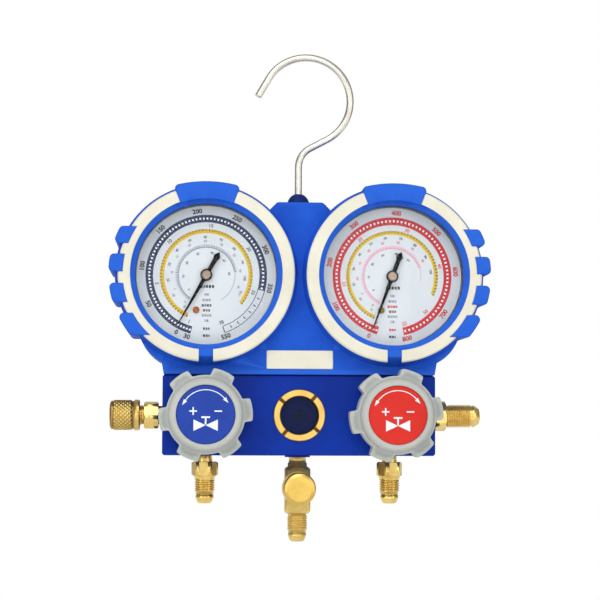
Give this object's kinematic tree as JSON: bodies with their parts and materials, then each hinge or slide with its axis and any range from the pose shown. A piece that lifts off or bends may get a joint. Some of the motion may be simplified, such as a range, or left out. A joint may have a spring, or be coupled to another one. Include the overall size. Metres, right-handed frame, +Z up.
{
  "type": "refrigerant manifold gauge",
  "caption": "Two-valve refrigerant manifold with a pair of round dial gauges in a blue rubber boot, brass flare ports, lobed knobs, sight glass and swivelling hook.",
  "frame": {"origin": "middle of the valve block's flat back face", "axes": "+Z up towards the hook, -Y forward towards the user, +X to the user's right; low-pressure side at -X, high-pressure side at +X"},
  "size_m": [0.2066, 0.062, 0.2702],
  "materials": {
    "anodised_blue": "satin anodised aluminium",
    "boot_rubber": "matt moulded rubber",
    "cream_rubber": "matt moulded rubber",
    "brass": "turned, bright",
    "copper_screw": "turned, dull",
    "bronze": "drawn",
    "steel": "bright",
    "clear_lens": "clear polycarbonate",
    "sight_glass": "clear glass over a dark cavity",
    "seal_rubber": "matt",
    "navy_plastic": "moulded",
    "knob_grey": "moulded",
    "pointer_black": "matt paint",
    "low_dial_print": "printed",
    "high_dial_print": "printed",
    "low_badge": "printed",
    "high_badge": "printed"
  },
  "bodies": {
    "manifold": {"manifold_block": "anodised_blue", "gauge_boot": "boot_rubber", "ring_inlays": "cream_rubber", "centre_plate": "cream_rubber", "sight_glass_ring": "brass", "sight_glass": "sight_glass", "sight_glass_seal": "seal_rubber", "centre_tee": "brass", "left_side_port": "brass", "right_side_port": "brass", "hook_socket": "brass", "hook_collar": "navy_plastic", "low_gauge_case": "steel", "low_gauge_lens": "clear_lens", "low_dial": "low_dial_print", "low_gauge_socket": "brass", "low_bourdon_tube": "bronze", "low_movement_frame": "brass", "low_hairspring": "bronze", "low_bonnet": "brass", "low_hose_port": "brass", "high_gauge_case": "steel", "high_gauge_lens": "clear_lens", "high_dial": "high_dial_print", "high_gauge_socket": "brass", "high_bourdon_tube": "bronze", "high_movement_frame": "brass", "high_hairspring": "bronze", "high_bonnet": "brass", "high_hose_port": "brass"},
    "low_valve_piston": {"low_piston": "brass", "low_piston_oring": "seal_rubber"},
    "low_valve_knob": {"low_stem": "brass", "low_knob": "knob_grey", "low_knob_badge": "low_badge", "low_knob_screw": "steel"},
    "low_pointer_arbor": {"low_pinion": "brass", "low_pointer": "pointer_black", "low_pointer_bush": "steel"},
    "low_sector": {"low_sector_gear": "brass"},
    "low_tube_link": {"low_link": "brass"},
    "low_zero_adjuster": {"low_zero_screw": "copper_screw"},
    "high_valve_piston": {"high_piston": "brass", "high_piston_oring": "seal_rubber"},
    "high_valve_knob": {"high_stem": "brass", "high_knob": "knob_grey", "high_knob_badge": "high_badge", "high_knob_screw": "steel"},
    "high_pointer_arbor": {"high_pinion": "brass", "high_pointer": "pointer_black", "high_pointer_bush": "steel"},
    "high_sector": {"high_sector_gear": "brass"},
    "high_tube_link": {"high_link": "brass"},
    "high_zero_adjuster": {"high_zero_screw": "brass"},
    "swivel_hook": {"hook": "steel"},
    "side_cap_seat": {"side_cap_seal": "seal_rubber"},
    "side_cap_shell": {"side_cap": "brass"},
    "centre_cap_seat": {"centre_cap_seal": "seal_rubber"},
    "centre_cap_shell": {"centre_cap": "brass"}
  },
  "joints": [
    {"name": "low_piston_slide", "type": "slide", "parent": "manifold", "child": "low_valve_piston", "axis": [0, -1, 0], "range_m": [0, 0.003]},
    {"name": "low_knob_turn", "type": "hinge", "parent": "low_valve_piston", "child": "low_valve_knob", "pos_m": [-0.0508, -0.0535, 0], "axis": [0, -1, 0], "range_deg": [0, 720]},
    {"name": "low_pointer_turn", "type": "hinge", "parent": "manifold", "child": "low_pointer_arbor", "pos_m": [-0.0508, -0.0336, 0.076], "axis": [0, 1, 0], "range_deg": [-14, 312], "deforming": ["low_hairspring"]},
    {"name": "low_sector_turn", "type": "hinge", "parent": "manifold", "child": "low_sector", "pos_m": [-0.0508, -0.0175, 0.0598], "axis": [0, 1, 0], "range_deg": [-41, 2]},
    {"name": "low_link_turn", "type": "hinge", "parent": "low_sector", "child": "low_tube_link", "pos_m": [-0.04993, -0.0224, 0.05488], "axis": [0, 1, 0], "range_deg": [-2, 41]},
    {"name": "low_zero_screw_turn", "type": "hinge", "parent": "manifold", "child": "low_zero_adjuster", "pos_m": [-0.0562, -0.032, 0.057], "axis": [0, -1, 0], "range_deg": [-45, 45]},
    {"name": "high_piston_slide", "type": "slide", "parent": "manifold", "child": "high_valve_piston", "axis": [0, -1, 0], "range_m": [0, 0.003]},
    {"name": "high_knob_turn", "type": "hinge", "parent": "high_valve_piston", "child": "high_valve_knob", "pos_m": [0.0508, -0.0535, 0], "axis": [0, -1, 0], "range_deg": [0, 720]},
    {"name": "high_pointer_turn", "type": "hinge", "parent": "manifold", "child": "high_pointer_arbor", "pos_m": [0.0508, -0.0336, 0.076], "axis": [0, 1, 0], "range_deg": [-5, 325], "deforming": ["high_hairspring"]},
    {"name": "high_sector_turn", "type": "hinge", "parent": "manifold", "child": "high_sector", "pos_m": [0.0508, -0.0175, 0.0598], "axis": [0, 1, 0], "range_deg": [-41, 2]},
    {"name": "high_link_turn", "type": "hinge", "parent": "high_sector", "child": "high_tube_link", "pos_m": [0.05167, -0.0224, 0.05488], "axis": [0, 1, 0], "range_deg": [-2, 41]},
    {"name": "high_zero_screw_turn", "type": "hinge", "parent": "manifold", "child": "high_zero_adjuster", "pos_m": [0.0449, -0.032, 0.0575], "axis": [0, -1, 0], "range_deg": [-45, 45]},
    {"name": "hook_swivel", "type": "hinge", "parent": "manifold", "child": "swivel_hook", "pos_m": [0, -0.018, 0.126], "axis": [0, 0, 1], "continuous": true},
    {"name": "side_cap_slide", "type": "slide", "parent": "manifold", "child": "side_cap_seat", "axis": [-1, 0, 0], "range_m": [0, 0.00762]},
    {"name": "side_cap_turn", "type": "hinge", "parent": "side_cap_seat", "child": "side_cap_shell", "pos_m": [-0.0945, -0.018, 0], "axis": [-1, 0, 0], "range_deg": [0, 2160]},
    {"name": "centre_cap_slide", "type": "slide", "parent": "manifold", "child": "centre_cap_seat", "axis": [0, -1, 0], "range_m": [0, 0.00762]},
    {"name": "centre_cap_turn", "type": "hinge", "parent": "centre_cap_seat", "child": "centre_cap_shell", "pos_m": [0, -0.0345, -0.0395], "axis": [0, -1, 0], "range_deg": [0, 2160]}
  ],
  "couplings": [
    {"joint": "low_piston_slide", "follows": "low_knob_turn", "m_per_rad": 0.00023873},
    {"joint": "low_sector_turn", "follows": "low_pointer_turn", "ratio": -0.125},
    {"joint": "low_link_turn", "follows": "low_pointer_turn", "ratio": 0.125},
    {"joint": "high_piston_slide", "follows": "high_knob_turn", "m_per_rad": 0.00023873},
    {"joint": "high_sector_turn", "follows": "high_pointer_turn", "ratio": -0.125},
    {"joint": "high_link_turn", "follows": "high_pointer_turn", "ratio": 0.125},
    {"joint": "side_cap_slide", "follows": "side_cap_turn", "m_per_rad": 0.00020212},
    {"joint": "centre_cap_slide", "follows": "centre_cap_turn", "m_per_rad": 0.00020212}
  ]
}
